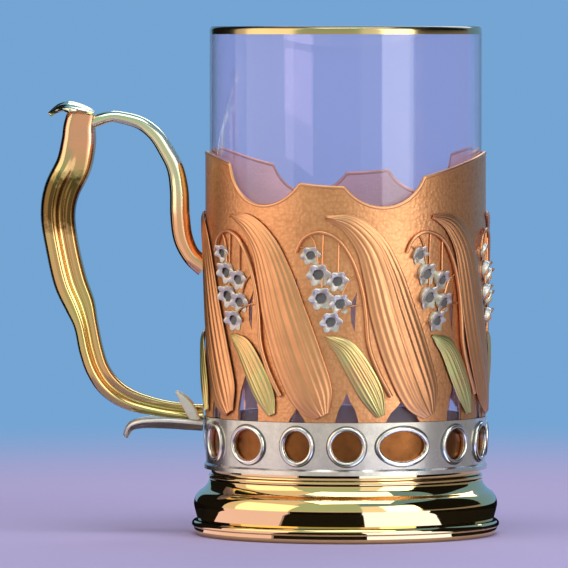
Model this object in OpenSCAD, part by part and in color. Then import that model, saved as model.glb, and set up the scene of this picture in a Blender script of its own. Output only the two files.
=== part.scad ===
// Tea glass holder with a handle: a pierced gilt sleeve with raised leaves and silver bell flowers,
// a silver gallery band, a spun gilt foot, a leaf handle on a silver bracket, and the glass it holds.
// Millimetres, +Z up. The origin is the centre of the rest face under the foot, on the cup's axis.
// Azimuth 0 is the front (-Y) and grows towards +X. The handle is at azimuth -90 (-X).

/* [Glass] */
// Outer diameter of the straight glass
glass_d = 68; // [60:0.5:76]
// Height of the glass
glass_h = 110; // [100:1:120]
// Thickness of the glass wall
glass_wall = 1.8; // [1.4:0.1:2.6]
// Thickness of the glass bottom
glass_bottom = 7; // [4:0.5:10]
// Height of the gilt band on the glass rim
gilt_h = 2; // [1:0.25:4]
// Depth of the gilt band into the glass wall
gilt_t = 0.25; // [0.15:0.05:0.5]

/* [Foot] */
// Radius of the foot's round moulding beyond the sleeve
foot_flare = 2.9; // [2:0.1:5]
// Radius of the rest lip beyond the sleeve
lip_flare = 3.4; // [2.4:0.1:5.5]
// Height of the rest lip ring
lip_h = 3.6; // [3:0.2:5]
// Height at which the spun foot ends under the collar
foot_top = 13.9; // [12:0.1:16]
// Wall of the spun foot
foot_wall = 1; // [0.8:0.1:1.6]
// Height of the collar ring over the foot
collar_h = 2.6; // [1.8:0.1:4]
// Thickness of the plate the glass stands on
floor_t = 1.4; // [1:0.1:2]

/* [Gallery band] */
// Height of the silver band
band_h = 13; // [11:0.5:16]
// Wall of the silver band
band_wall = 0.9; // [0.7:0.1:1.4]
// How far the raised rim of an opening stands out of the band
eye_relief = 0.7; // [0.4:0.1:1.2]
// Width of the raised rim round an opening
eye_rim = 1.1; // [0.7:0.1:1.6]
// Height of the openings
eye_h = 7.6; // [6:0.2:9]

/* [Sleeve] */
// Gap between the glass and the sleeve
glass_gap = 0.35; // [0.3:0.05:0.8]
// Wall of the sleeve
sleeve_wall = 0.7; // [0.6:0.1:1.2]
// Height of the sleeve's rim over the rest face where it is highest
rim_high = 95.5; // [88:0.5:104]
// Height of the rim's crest at the front and at the back
rim_crest = 87.5; // [84:0.5:92]
// Depth of the rim's dips under that crest
rim_dip = 5; // [2:0.5:7]
// Radius of the rim's dips
dip_r = 12; // [9:0.5:14]

/* [Leaves and flowers] */
// How many sprays, broad leaves and narrow leaves stand round the sleeve
spray_count = 8; // [6:1:9]
// Width of a broad leaf
broad_w = 12.5; // [8:0.5:14]
// Width of a narrow leaf
narrow_w = 6.4; // [4:0.2:8]
// How far a leaf's crown stands out of the sleeve
leaf_relief = 1.15; // [0.7:0.05:1.6]
// Diameter of a flower stem
stem_d = 1.2; // [0.8:0.1:1.6]
// Diameter of the largest bell's mouth
bell_d = 5; // [3.6:0.2:5.2]
// Length of a bell as a share of its mouth
bell_length_share = 0.62; // [0.5:0.02:0.8]
// Wall of a bell, half the width of its turned-out lip
bell_wall = 0.45; // [0.3:0.05:0.5]
// Tilt of a bell's mouth away from straight outwards
bell_tilt = 24; // [10:1:35]

/* [Handle] */
// Reach of the handle beyond the sleeve
handle_reach = 39.4; // [34:0.2:46]
// Height of the handle's lowest seat over the rest face
handle_low = 30.5; // [28:0.5:36]
// Height of the handle's top over the rest face
handle_top = 108.3; // [98:0.5:116]
// Widest profile of the handle blade
blade_w = 9; // [7:0.2:11]
// Thickness of the handle blade across
blade_d = 8; // [5:0.2:10]
// Widest profile of the upper arm
arm_w = 5; // [3.4:0.2:6]
// Thickness of the upper arm across
arm_d = 5.4; // [3.4:0.2:7]
// Width of the thumb leaf
thumb_w = 15; // [10:0.5:20]
// Thickness of the thumb leaf and of the bracket leaf
thumb_t = 1.3; // [1:0.1:2]
// Width of the silver bracket leaf
bracket_w = 11; // [8:0.5:14]
// Widest profile of the two claws of the bracket that hold the blade
claw_w = 3; // [2:0.2:4]
// Thickness of a claw
claw_t = 1; // [0.7:0.1:1.4]

/* [Hidden] */
$fn = 96;
// Gap between two pieces of the holder that are soldered together
seat = 0.1;
// Overrun of every cut
over = 1;
glass_r = glass_d / 2;
sleeve_in = glass_r + glass_gap;
sleeve_r = sleeve_in + sleeve_wall;
wrap_r = sleeve_r + seat;
collar_top = foot_top + collar_h;
floor_top = collar_top + seat;
band_bottom = collar_top + seat;
band_top = band_bottom + band_h;
sleeve_bottom = band_top + seat;
glass_z = floor_top + glass_gap;
foot_r = sleeve_r + foot_flare;
lip_r = sleeve_r + lip_flare;
rim_low = rim_crest - rim_dip;
module_angle = 360 / spray_count;
// Azimuth of the first spray, left of the front
first_spray = -52.5;

// A point at a radius, an azimuth and a height
function around(r, a, z) = [r * sin(a), -r * cos(a), z];

// One point on a smooth curve through b and c, with a and d as its neighbours
function curve_point(a, b, c, d, t) =
    ((2 * b) + (c - a) * t + (2 * a - 5 * b + 4 * c - d) * t * t
    + (3 * b - a - 3 * c + d) * t * t * t) / 2;

// A smooth row of points through the rows of a table, with n steps between two rows
function smooth_row(rows, n) = let (last = len(rows) - 1) concat(
    [for (i = [0:last - 1]) for (k = [0:n - 1]) curve_point(
        rows[max(i - 1, 0)], rows[i], rows[i + 1], rows[min(i + 2, last)], k / n)],
    [rows[last]]);

// Direction of a row of points at place i, in the first two columns
function heading(row, i) = let (
    a = row[max(i - 1, 0)], b = row[min(i + 1, len(row) - 1)],
    d = [b[0] - a[0], b[1] - a[1]]) d / norm(d);

// A closed solid through rings of equally many points
module skin(rings) {
    k = len(rings[0]);
    n = len(rings);
    polyhedron(
        points = [for (ring = rings) for (p = ring) p],
        faces = concat(
            [[for (i = [0:k - 1]) i]],
            [for (j = [0:n - 2]) for (i = [0:k - 1])
                [j * k + i, (j + 1) * k + i, (j + 1) * k + (i + 1) % k]],
            [for (j = [0:n - 2]) for (i = [0:k - 1])
                [j * k + i, (j + 1) * k + (i + 1) % k, j * k + (i + 1) % k]],
            [[for (i = [k - 1:-1:0]) (n - 1) * k + i]]));
}

// The dips in the sleeve's rim over half a turn: azimuth, and depth as a share of the deepest
dip_share = [[-36, 0.92], [15, 1]];

// The gallery openings: azimuth, width as a share of the height, and how high the pointed gap above it
// reaches, as a share of the opening's height. Those at the back stand between those at the front.
eye_share = [[-67, 0.9, 1.6], [-44, 1.2, 2.3], [-20.5, 0.88, 0.9], [0, 0.98, 1.4], [23.3, 1.6, 1.2],
    [49.6, 0.98, 1.9], [71, 0.9, 1.6], [101, 0.9, 1.6], [123, 0.9, 1.2], [146.5, 1.2, 1.9], [169.5, 0.88, 0.9],
    [190.5, 0.98, 1.4], [213, 1.2, 1.2], [235.5, 0.98, 1.9], [254, 0.9, 0.9]];
eye_mid_share = 0.55;
eye_sides = 24;
// Height and depth of the bead along the band's lower edge
bead = 0.5;
// How far a cut through the wall reaches past it on both sides
wall_over = 3;

// A broad leaf's midrib from base to tip: distance round the sleeve as a share of the spray's pitch,
// height as a share of the sleeve's dip height, and width as a share of its widest
broad_share = [[0.95, 0.03, 0.3], [0.86, 0.12, 0.85], [0.72, 0.3, 1], [0.59, 0.5, 0.95],
    [0.49, 0.68, 0.8], [0.38, 0.82, 0.62], [0.2, 0.92, 0.4], [-0.02, 0.955, 0.1]];
narrow_share = [[0.47, 0.03, 0.35], [0.4, 0.12, 0.9], [0.3, 0.22, 1], [0.17, 0.33, 0.85],
    [0.06, 0.375, 0.5], [-0.02, 0.4, 0.12]];
stem_share = [[0.56, 0.12], [0.44, 0.24], [0.36, 0.36], [0.335, 0.5], [0.3, 0.62], [0.22, 0.75],
    [0.09, 0.85], [-0.08, 0.885], [-0.22, 0.855], [-0.29, 0.79]];
// The bells of one spray: the same two places, and mouth as a share of the largest
bell_share = [[-0.15, 0.775, 0.8], [-0.08, 0.685, 0.96], [0.09, 0.655, 0.88], [-0.055, 0.575, 1],
    [0.11, 0.55, 0.88], [0.03, 0.465, 0.9]];

// The dark slits pierced through the sleeve beside the leaves: two ends and the greatest width
slit_share = [[[0.71, 0.68], [0.81, 0.4], 0.09], [[0.26, 0.61], [0.24, 0.42], 0.11], [[-0.3, 0.42], [-0.2, 0.16], 0.12]];

pitch_w = wrap_r * module_angle * PI / 180;
leaf_field = rim_low - sleeve_bottom;
// Angle round the sleeve of a distance along it
function turn(u) = u / wrap_r * 180 / PI;

// The cup's section, turned round the axis
module turned(outline) rotate_extrude($fn = 192) polygon(outline);

module foot_shell() {
    neck = sleeve_r - band_wall;
    color("goldenrod") turned([
        [neck, foot_top], [neck, foot_top - foot_wall], [neck + foot_flare * 0.3, foot_top * 0.88],
        [neck + foot_flare * 0.85, foot_top * 0.8], [foot_r - foot_wall * 0.7, foot_top * 0.7],
        [foot_r - foot_wall * 0.1, foot_top * 0.58],
        [foot_r, foot_top * 0.47], [foot_r - foot_wall * 0.1, foot_top * 0.36],
        [foot_r - foot_wall * 0.5, lip_h + seat], [foot_r - foot_wall * 1.7, lip_h + seat],
        [foot_r - foot_wall * 1.1, foot_top * 0.36],
        [foot_r - foot_wall, foot_top * 0.47], [foot_r - foot_wall * 1.1, foot_top * 0.58],
        [foot_r - foot_wall * 1.8, foot_top * 0.66],
        [neck + foot_flare * 0.6 - foot_wall, foot_top * 0.74], [neck - foot_wall, foot_top * 0.82],
        [neck - foot_wall * 2.5, foot_top - foot_wall * 1.2], [neck - foot_wall * 2.5, foot_top]]);
}

module base_ring() {
    color("gold") turned([
        [lip_r - foot_wall * 3.4, 0], [lip_r - foot_wall * 1.5, 0], [lip_r - foot_wall * 0.7, lip_h * 0.2],
        [lip_r - foot_wall * 0.45, lip_h * 0.55], [lip_r - foot_wall * 0.1, lip_h * 0.62],
        [lip_r, lip_h * 0.78], [lip_r - foot_wall * 0.1, lip_h * 0.92], [lip_r - foot_wall * 0.4, lip_h],
        [lip_r - foot_wall * 2.4, lip_h], [lip_r - foot_wall * 2.4, lip_h * 0.45],
        [lip_r - foot_wall * 3.4, lip_h * 0.3]]);
}

module foot_collar() {
    neck = sleeve_r - band_wall;
    lower = foot_top + seat;
    color("gold") turned([
        [neck - foot_wall * 2, lower], [neck - foot_wall * 0.3, lower], [neck + foot_wall * 0.1, lower + collar_h * 0.2],
        [neck + foot_wall * 0.1, lower + collar_h * 0.45], [neck - foot_wall * 0.3, lower + collar_h * 0.6],
        [neck - foot_wall * 0.3, collar_top], [neck - foot_wall * 2, collar_top]]);
}

module floor_plate() {
    neck = sleeve_r - band_wall - foot_wall * 2 - seat;
    color("goldenrod") translate([0, 0, floor_top - floor_t]) cylinder(r = neck, h = floor_t);
}

// The radius of the band's outer face at a share of its height
function band_r(s) = sleeve_in + band_wall * (0.6 + 0.6 * s);

// The gallery's openings, with none behind the handle's bracket
module each_eye() {
    for (eye = eye_share)
        rotate([0, 0, eye[0]])
            translate([0, 0, band_bottom + band_h * eye_mid_share])
                let ($eye_w = eye_h * eye[1], $eye_reach = eye_h * eye[2]) children();
}

// The oval outline of an opening, grown by a border
module eye_outline(border) polygon([for (k = [0:eye_sides - 1]) let (a = 360 * (k + 0.5) / eye_sides)
    [($eye_w / 2 + border) * cos(a), (eye_h / 2 + border) * sin(a)]]);

// A prism through the wall, cut along the front's direction
module through_wall() translate([0, -(sleeve_in - wall_over), 0]) rotate([90, 0, 0])
    linear_extrude(height = sleeve_wall + 2 * wall_over) children();

module gallery_band() {
    color("silver") difference() {
        turned([
            [sleeve_in, band_bottom], [band_r(0) + bead, band_bottom],
            [band_r(0) + bead, band_bottom + bead * 2], [band_r(0), band_bottom + bead * 3],
            [band_r(1), band_top], [sleeve_in, band_top]]);
        each_eye() through_wall() eye_outline(0);
    }
}

// The raised rims round the openings
module opening_rims() {
    color("silver") intersection() {
        each_eye() through_wall() difference() {
            eye_outline(eye_rim);
            eye_outline(0);
        }
        turned([
            [band_r(0) + seat / 2, band_bottom], [band_r(0) + eye_relief, band_bottom],
            [band_r(1) + eye_relief, band_top], [band_r(1) + seat / 2, band_top]]);
    }
}

// The space above the sleeve's rim: a saddle, high beside the handle and opposite it, with round dips
module over_rim() {
    d = rim_high - rim_crest;
    saddle_r = (sleeve_r * sleeve_r + d * d) / (2 * d);
    translate([0, lip_r, rim_crest + saddle_r]) rotate([90, 0, 0]) cylinder(r = saddle_r, h = 2 * lip_r, $fn = 192);
    for (half = [0, 180]) for (dip = dip_share)
        rotate([0, 0, dip[0] + half]) translate([0, 0, rim_crest - rim_dip * dip[1] + dip_r])
            through_wall() circle(r = dip_r);
}

// The pointed gap that rises over an opening
module flame() {
    w = $eye_w * 0.36;
    h = $eye_reach;
    polygon([[-w, 0], [w, 0], [w * 1.05, h * 0.35], [w * 0.75, h * 0.6], [w * 0.3, h * 0.8], [0, h],
        [-w * 0.3, h * 0.8], [-w * 0.75, h * 0.6], [-w * 1.05, h * 0.35]]);
}

// A slit between two leaves, drawn in distance round the sleeve and height
module slit(a, b, wide) {
    mid = (a + b) / 2;
    d = (b - a) / norm(b - a);
    n = [d[1], -d[0]];
    polygon([a, mid * 0.5 + a * 0.5 + n * wide * 0.8, mid + n * wide, mid * 0.5 + b * 0.5 + n * wide * 0.8,
        b, mid * 0.5 + b * 0.5 + n * wide * 0.1, mid * 0.5 + a * 0.5 + n * wide * 0.1]);
}

module sleeve() {
    color("goldenrod") difference() {
        translate([0, 0, sleeve_bottom]) difference() {
            cylinder(r = sleeve_r, h = rim_high - sleeve_bottom + over, $fn = 192);
            translate([0, 0, -over]) cylinder(r = sleeve_in, h = rim_high - sleeve_bottom + 3 * over, $fn = 192);
        }
        over_rim();
        each_eye() through_wall() translate([0, eye_h / 2 - eye_rim]) flame();
        for (i = [0:spray_count - 1]) for (s = slit_share) {
            a = [s[0][0] * pitch_w, sleeve_bottom + s[0][1] * leaf_field];
            b = [s[1][0] * pitch_w, sleeve_bottom + s[1][1] * leaf_field];
            middle = turn((a[0] + b[0]) / 2);
            shift = [(a[0] + b[0]) / 2, 0];
            if (i < spray_count - 1) rotate([0, 0, first_spray + module_angle * i + middle])
                through_wall() slit(a - shift, b - shift, s[2] * broad_w);
        }
    }
}

// A leaf laid round the sleeve. Columns of the table: place round, height, width.
module wrapped_leaf(table, wide, azimuth, steps) {
    row = [for (p = smooth_row(table, steps))
        [p[0] * pitch_w, sleeve_bottom + p[1] * leaf_field, p[2] * wide / 2]];
    across = [-1, -0.62, -0.22, 0, 0.22, 0.62, 1];
    crown_share = [0.3, 0.85, 1, 0.62, 1, 0.85, 0.3];
    under = [1, 0.5, 0, -0.5, -1];
    skin([for (i = [0:len(row) - 1]) let (
        p = row[i], d = heading(row, i), n = [d[1], -d[0]],
        body = leaf_relief * (0.45 + 0.55 * min(1, 2 * p[2] / wide)))
        concat(
            [for (k = [0:6]) around(wrap_r + body * crown_share[k],
                azimuth + turn(p[0] + n[0] * across[k] * p[2]), p[1] + n[1] * across[k] * p[2])],
            [for (v = under) around(wrap_r, azimuth + turn(p[0] + n[0] * v * p[2]), p[1] + n[1] * v * p[2])])]);
}

module broad_leaf(i) color("gold") wrapped_leaf(broad_share, broad_w, first_spray + module_angle * i, 2);

module narrow_leaf(i) color("khaki") wrapped_leaf(narrow_share, narrow_w, first_spray + module_angle * i, 2);

// The arched stem that a spray of bells hangs under
module flower_stem(i) {
    azimuth = first_spray + module_angle * i;
    row = [for (p = smooth_row(stem_share, 2)) [p[0] * pitch_w, sleeve_bottom + p[1] * leaf_field]];
    r = stem_d / 2;
    color("gold") skin([for (k = [0:len(row) - 1]) let (
        p = row[k], d = heading(row, k), n = [d[1], -d[0]],
        thin = 0.65 + 0.35 * (1 - k / (len(row) - 1)))
        [for (s = [0:5]) let (a = 60 * s, side = r * thin * cos(a))
            around(wrap_r + r + r * thin * sin(a), azimuth + turn(p[0] + n[0] * side), p[1] + n[1] * side)]]);
}

// A bell with its mouth at the origin, opening along +Z
module bell(mouth) {
    r = mouth / 2;
    h = mouth * bell_length_share;
    rotate_extrude($fn = 48) polygon([[0, -h], [r * 0.4, -h * 0.97], [r * 0.74, -h * 0.74],
        [r * 0.82, -h * 0.4], [r * 0.84, -h * 0.18], [r, 0], [r - bell_wall * 0.7, 0],
        [r - bell_wall * 2, -h * 0.12], [r * 0.78 - bell_wall, -h * 0.5], [0, -h * 0.72]]);
}

// The silver bells of one spray, in half relief on the sleeve
module bell_spray(i) {
    azimuth = first_spray + module_angle * i;
    color("silver") difference() {
        union() for (b = bell_share) {
            mouth = bell_d * b[2];
            out = wrap_r + mouth / 2 * sin(bell_tilt);
            rotate([0, 0, azimuth + turn(b[0] * pitch_w)])
                translate([0, -out, sleeve_bottom + b[1] * leaf_field])
                    rotate([90 + bell_tilt, 0, 0]) rotate([0, bell_tilt / 2, 0]) bell(mouth);
        }
        wall_space(wrap_r);
    }
}

// The handle blade's spine: reach and height as shares of the handle's, then profile and thickness shares
blade_share = [[-0.02, 0, 0.45, 0.7], [0.098, 0, 0.48, 0.72], [0.288, 0.013, 0.5, 0.72],
    [0.478, 0.039, 0.6, 0.75], [0.605, 0.081, 0.66, 0.8], [0.681, 0.135, 0.67, 0.82], [0.725, 0.2, 0.69, 0.84],
    [0.758, 0.28, 0.7, 0.86], [0.796, 0.344, 0.86, 0.9], [0.859, 0.424, 0.94, 0.95], [0.91, 0.537, 0.94, 1],
    [0.935, 0.634, 0.97, 1], [0.91, 0.713, 1, 1], [0.834, 0.794, 1, 0.96], [0.804, 0.865, 0.97, 0.92],
    [0.798, 0.915, 0.9, 0.87], [0.778, 0.954, 0.84, 0.84]];
// Half of the blade's section, a leaf folded along its midrib: profile share and thickness share
fold_share = [[1, 0], [0.86, 0.6], [0.5, 0.92], [0.15, 0.78], [-0.12, 0.5], [-0.42, 0.6], [-0.72, 0.66], [-0.92, 0.42],
    [-1, 0]];
// The upper arm's spine, in the same columns
arm_share = [[0.668, 0.94, 0.62, 0.72], [0.61, 0.948, 0.58, 0.7], [0.542, 0.947, 0.6, 0.7], [0.415, 0.929, 0.66, 0.74],
    [0.319, 0.893, 0.74, 0.78], [0.25, 0.842, 0.8, 0.84], [0.192, 0.784, 0.86, 0.9], [0.166, 0.713, 0.96, 1],
    [0.161, 0.634, 1, 1], [0.141, 0.559, 1, 1], [0.085, 0.501, 0.95, 1.05], [-0.03, 0.462, 1.1, 1.2]];
handle_h = handle_top - handle_low;

// A solid swept along a line in the handle's plane. Table columns: reach, height, profile, thickness.
module swept_handle(table, wide, deep, half, steps) {
    row = [for (p = smooth_row(table, steps))
        [sleeve_r + p[0] * handle_reach, handle_low + p[1] * handle_h, p[2] * wide / 2, p[3] * deep / 2]];
    ring = concat(half, [for (k = [len(half) - 2:-1:1]) [half[k][0], -half[k][1]]]);
    skin([for (i = [0:len(row) - 1]) let (p = row[i], d = heading(row, i), n = [d[1], -d[0]])
        [for (q = ring) [-(p[0] + n[0] * q[0] * p[2]), q[1] * p[3], p[1] + n[1] * q[0] * p[2]]]]);
}

// The round wall that a piece of the handle ends on
module wall_space(r) cylinder(r = r, h = rim_high, $fn = 192);

module handle_blade() {
    color("gold") difference() {
        swept_handle(blade_share, blade_w, blade_d, fold_share, 2);
        wall_space(band_r(1) + seat);
    }
}

module upper_arm() {
    oval = [for (k = [0:5]) [cos(180 * k / 5), sin(180 * k / 5)]];
    color("gold") difference() {
        swept_handle(arm_share, arm_w, arm_d, oval, 2);
        wall_space(wrap_r);
    }
}

// The leaf under the thumb, bowed over the handle's top. Columns: reach, height, width.
thumb_share = [[0.999, 0.961, 0.12], [0.965, 0.978, 0.45], [0.92, 0.994, 0.8], [0.859, 1, 1], [0.79, 0.992, 0.9],
    [0.73, 0.977, 0.55], [0.7, 0.966, 0.25]];
bracket_share = [[0.52, -0.075, 0.2], [0.48, -0.045, 0.45], [0.4, -0.035, 0.75], [0.25, -0.036, 1],
    [0.12, -0.04, 1], [-0.03, -0.045, 0.85]];
// One claw of the bracket. Columns: reach, height, profile and thickness.
claw_share = [[0.06, -0.026, 0.8, 1], [0.085, 0, 1, 1], [0.125, 0.032, 0.8, 0.9], [0.165, 0.056, 0.4, 0.7],
    [0.19, 0.066, 0.12, 0.5]];

// A bowed leaf in the handle's plane, its edges drooping by a share of its width
module bowed_leaf(table, wide, thick, droop_share, steps) {
    row = [for (p = smooth_row(table, steps))
        [sleeve_r + p[0] * handle_reach, handle_low + p[1] * handle_h, p[2] * wide / 2]];
    across = [-1, -0.55, 0, 0.55, 1];
    skin([for (i = [0:len(row) - 1]) let (p = row[i], d = heading(row, i), n = [d[1], -d[0]])
        concat(
            [for (v = across) let (s = -v * v * droop_share * p[2])
                [-(p[0] + n[0] * s), v * p[2], p[1] + n[1] * s]],
            [for (k = [4:-1:0]) let (v = across[k], s = -v * v * droop_share * p[2] - thick)
                [-(p[0] + n[0] * s), v * p[2], p[1] + n[1] * s]])]);
}

module thumb_leaf() color("gold") bowed_leaf(thumb_share, thumb_w, thumb_t, 0.25, 2);

// The silver leaf under the handle's lower end, with a claw on each side of the blade
module bracket_leaf() {
    oval = [for (k = [0:4]) [cos(180 * k / 4), sin(180 * k / 4)]];
    aside = (blade_share[0][3] * blade_d + claw_t) / 2 + seat;
    color("silver") {
        difference() {
            bowed_leaf(bracket_share, bracket_w, thumb_t, -0.3, 2);
            wall_space(band_r(1) + seat);
        }
        for (side = [-aside, aside])
            translate([0, side, 0]) swept_handle(claw_share, claw_w, claw_t, oval, 2);
    }
}

module glass_tumbler() {
    round_in = glass_wall * 2;
    inner = glass_r - glass_wall;
    rim = glass_z + glass_h;
    color("lightblue") turned(concat(
        [[0, glass_z], [glass_r - glass_wall, glass_z], [glass_r, glass_z + glass_wall],
            [glass_r, rim - gilt_h], [glass_r - gilt_t, rim - gilt_h], [glass_r - gilt_t, rim],
            [inner, rim], [inner, glass_z + glass_bottom + round_in]],
        [for (a = [0:15:90]) [inner - round_in + round_in * cos(a), glass_z + glass_bottom + round_in - round_in * sin(a)]],
        [[0, glass_z + glass_bottom]]));
}

module gilt_rim() {
    rim = glass_z + glass_h;
    color("gold") turned([[glass_r - gilt_t, rim - gilt_h], [glass_r, rim - gilt_h], [glass_r, rim], [glass_r - gilt_t, rim]]);
}

foot_shell();
base_ring();
foot_collar();
floor_plate();
gallery_band();
opening_rims();
sleeve();
for (i = [0:spray_count - 1]) {
    broad_leaf(i);
    narrow_leaf(i);
}
for (i = [0:spray_count - 2]) {
    flower_stem(i);
    bell_spray(i);
}
handle_blade();
upper_arm();
thumb_leaf();
bracket_leaf();
glass_tumbler();
gilt_rim();
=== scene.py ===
"""A gilt and silver holder for a tea glass, with its glass, dressed for a studio picture.

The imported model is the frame. The script is laid out as an add-on: the sizes and colours are properties,
each piece or group of like pieces has an operator, and the panel in the sidebar lists them in order."""
import math

import bmesh
import bpy
from bpy.props import FloatProperty, FloatVectorProperty, IntProperty, PointerProperty
from mathutils import Matrix, Vector


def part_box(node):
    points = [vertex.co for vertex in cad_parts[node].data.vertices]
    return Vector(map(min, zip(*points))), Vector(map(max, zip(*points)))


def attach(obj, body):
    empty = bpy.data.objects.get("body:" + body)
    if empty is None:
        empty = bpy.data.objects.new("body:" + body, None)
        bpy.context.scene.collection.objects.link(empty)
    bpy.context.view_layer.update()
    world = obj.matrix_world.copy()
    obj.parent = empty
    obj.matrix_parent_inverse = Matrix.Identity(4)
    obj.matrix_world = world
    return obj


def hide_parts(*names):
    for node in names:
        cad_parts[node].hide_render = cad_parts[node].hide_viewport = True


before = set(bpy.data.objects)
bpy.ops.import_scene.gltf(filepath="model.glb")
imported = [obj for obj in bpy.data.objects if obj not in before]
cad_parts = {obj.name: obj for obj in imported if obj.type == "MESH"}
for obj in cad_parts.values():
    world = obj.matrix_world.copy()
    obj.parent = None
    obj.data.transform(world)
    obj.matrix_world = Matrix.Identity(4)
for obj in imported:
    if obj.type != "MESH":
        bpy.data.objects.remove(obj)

bl_info = {
    "name": "Tea glass holder",
    "version": (1, 0, 0),
    "blender": (4, 5, 0),
    "location": "3D View > Sidebar > Tea glass",
    "description": "Builds the dressed tea glass holder round its packed frame",
    "category": "Object",
}

MM = 0.001
HOLDER = "holder"
GLASS = "glass"

# The frame's own sizes
SLEEVE_LOW, SLEEVE_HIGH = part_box("sleeve")
BAND_LOW, BAND_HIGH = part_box("gallery_band")
FOOT_LOW, FOOT_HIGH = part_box("foot_shell")
RING_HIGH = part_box("base_ring")[1]
COLLAR_LOW, COLLAR_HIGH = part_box("foot_collar")
GLASS_LOW, GLASS_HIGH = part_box("glass_tumbler")
THUMB_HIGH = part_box("thumb_leaf")[1]
# The gap at which the pieces stand off each other
SEAT = 0.1 * MM
SLEEVE_R = SLEEVE_HIGH[0]
WRAP_R = SLEEVE_R + SEAT
FOOT_R = FOOT_HIGH[0]
LIP_R = RING_HIGH[0]
GLASS_R = GLASS_HIGH[0]
# The sleeve's rim in front: its height, the bottom of its deepest dip, and the dips' radius
RIM_CREST = 87.5 * MM
RIM_LOW = 82.5 * MM
DIP_R = 12 * MM
# The sprays of leaves and flowers: their number, each one's angle and width, and the field's height
SPRAYS = sum(name.startswith("broad_leaf_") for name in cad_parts)
MODULE = math.tau / SPRAYS
PITCH = WRAP_R * MODULE
FIELD = RIM_LOW - SLEEVE_LOW[2]
FIRST_SPRAY = math.radians(-52.5)
# The handle: the height it starts from, its own height and its reach
HANDLE_LOW = 30.5 * MM
HANDLE_H = THUMB_HIGH[2] - HANDLE_LOW
HANDLE_REACH = 39.4 * MM

# Leaves laid round the sleeve. Columns: place round as a share of the pitch, height as a share of the
# field, and width as a share of the widest
BROAD_SHARE = ((0.95, 0.03, 0.3), (0.86, 0.12, 0.85), (0.72, 0.3, 1), (0.59, 0.5, 0.95),
               (0.49, 0.68, 0.8), (0.38, 0.82, 0.62), (0.2, 0.92, 0.4), (-0.02, 0.955, 0.06))
NARROW_SHARE = ((0.47, 0.03, 0.35), (0.4, 0.12, 0.9), (0.3, 0.22, 1), (0.17, 0.33, 0.85),
                (0.06, 0.375, 0.5), (-0.02, 0.4, 0.06))
STEM_SHARE = ((0.56, 0.12), (0.44, 0.24), (0.36, 0.36), (0.335, 0.5), (0.3, 0.62), (0.22, 0.75),
              (0.09, 0.85), (-0.08, 0.885), (-0.22, 0.855), (-0.29, 0.79))
# The bells: the same two places, mouth as a share of the largest, and where the pedicel leaves the stem
BELL_SHARE = ((-0.15, 0.775, 0.8, 0.95), (-0.08, 0.685, 0.96, 0.84), (0.09, 0.655, 0.88, 0.66),
              (-0.055, 0.575, 1, 0.75), (0.11, 0.55, 0.88, 0.5), (0.03, 0.465, 0.9, 0.38))
# The turned-out lip as a share of the bell's mouth, and its lobes
LIP_SHARE = 1.18
LOBES = 6
# A pedicel's radius, and how far out a bell's throat keeps, so that the pedicel stays behind it
PEDICEL_R = 0.22 * MM
THROAT_OUT = 2.3 * PEDICEL_R
# The spines of blade, arm and claws: reach and height as shares of the handle's, then the section's width
# in profile and its thickness across
BLADE_SHARE = ((0.012, 0, 0.45, 0.7), (0.098, 0, 0.48, 0.72), (0.288, 0.013, 0.5, 0.72),
               (0.478, 0.039, 0.6, 0.75), (0.605, 0.081, 0.66, 0.8), (0.681, 0.135, 0.67, 0.82),
               (0.725, 0.2, 0.69, 0.84), (0.758, 0.28, 0.7, 0.86), (0.796, 0.344, 0.86, 0.9),
               (0.859, 0.424, 0.94, 0.95), (0.91, 0.537, 0.94, 1), (0.935, 0.634, 0.97, 1),
               (0.91, 0.713, 1, 1), (0.834, 0.794, 1, 0.96), (0.804, 0.865, 0.97, 0.92),
               (0.798, 0.915, 0.9, 0.87), (0.778, 0.96, 0.84, 0.84))
# Half of the blade's section: place in its profile, and across it
FOLD_SHARE = ((1, 0), (0.86, 0.6), (0.5, 0.92), (0.15, 0.78), (-0.12, 0.5), (-0.42, 0.6), (-0.72, 0.66),
              (-0.92, 0.42), (-1, 0))
ARM_SHARE = ((0.72, 0.93, 0.64, 0.72), (0.668, 0.94, 0.62, 0.72), (0.61, 0.948, 0.58, 0.7),
             (0.542, 0.947, 0.6, 0.7), (0.415, 0.929, 0.66, 0.74), (0.319, 0.893, 0.74, 0.78),
             (0.25, 0.842, 0.8, 0.84), (0.192, 0.784, 0.86, 0.9), (0.166, 0.713, 0.96, 1),
             (0.161, 0.634, 1, 1), (0.141, 0.559, 1, 1), (0.085, 0.501, 0.95, 1.05),
             (0.003, 0.468, 1.1, 1.2))
# The thumb leaf and the bracket leaf: reach and height, then width as a share of the widest
THUMB_SHARE = ((0.999, 0.961, 0.06), (0.965, 0.978, 0.45), (0.92, 0.994, 0.8), (0.859, 1, 1),
               (0.79, 0.992, 0.9), (0.73, 0.977, 0.55), (0.7, 0.966, 0.2))
BRACKET_SHARE = ((0.52, -0.075, 0.12), (0.48, -0.045, 0.45), (0.4, -0.035, 0.75), (0.25, -0.036, 1),
                 (0.12, -0.04, 1), (0.015, -0.043, 0.9))
CLAW_SHARE = ((0.06, -0.026, 0.8, 1), (0.085, 0, 1, 1), (0.125, 0.032, 0.8, 0.9), (0.165, 0.056, 0.4, 0.7),
              (0.19, 0.066, 0.06, 0.5))
# The gallery openings: azimuth in degrees and width as a share of the height
EYE_SHARE = ((-67, 0.9), (-44, 1.2), (-20.5, 0.88), (0, 0.98), (23.3, 1.6), (49.6, 0.98), (71, 0.9),
             (101, 0.9), (123, 0.9), (146.5, 1.2), (169.5, 0.88), (190.5, 0.98), (213, 1.2),
             (235.5, 0.98), (254, 0.9))
# Their middles' height in the band, as a share of it
EYE_MID_SHARE = 0.55
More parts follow.
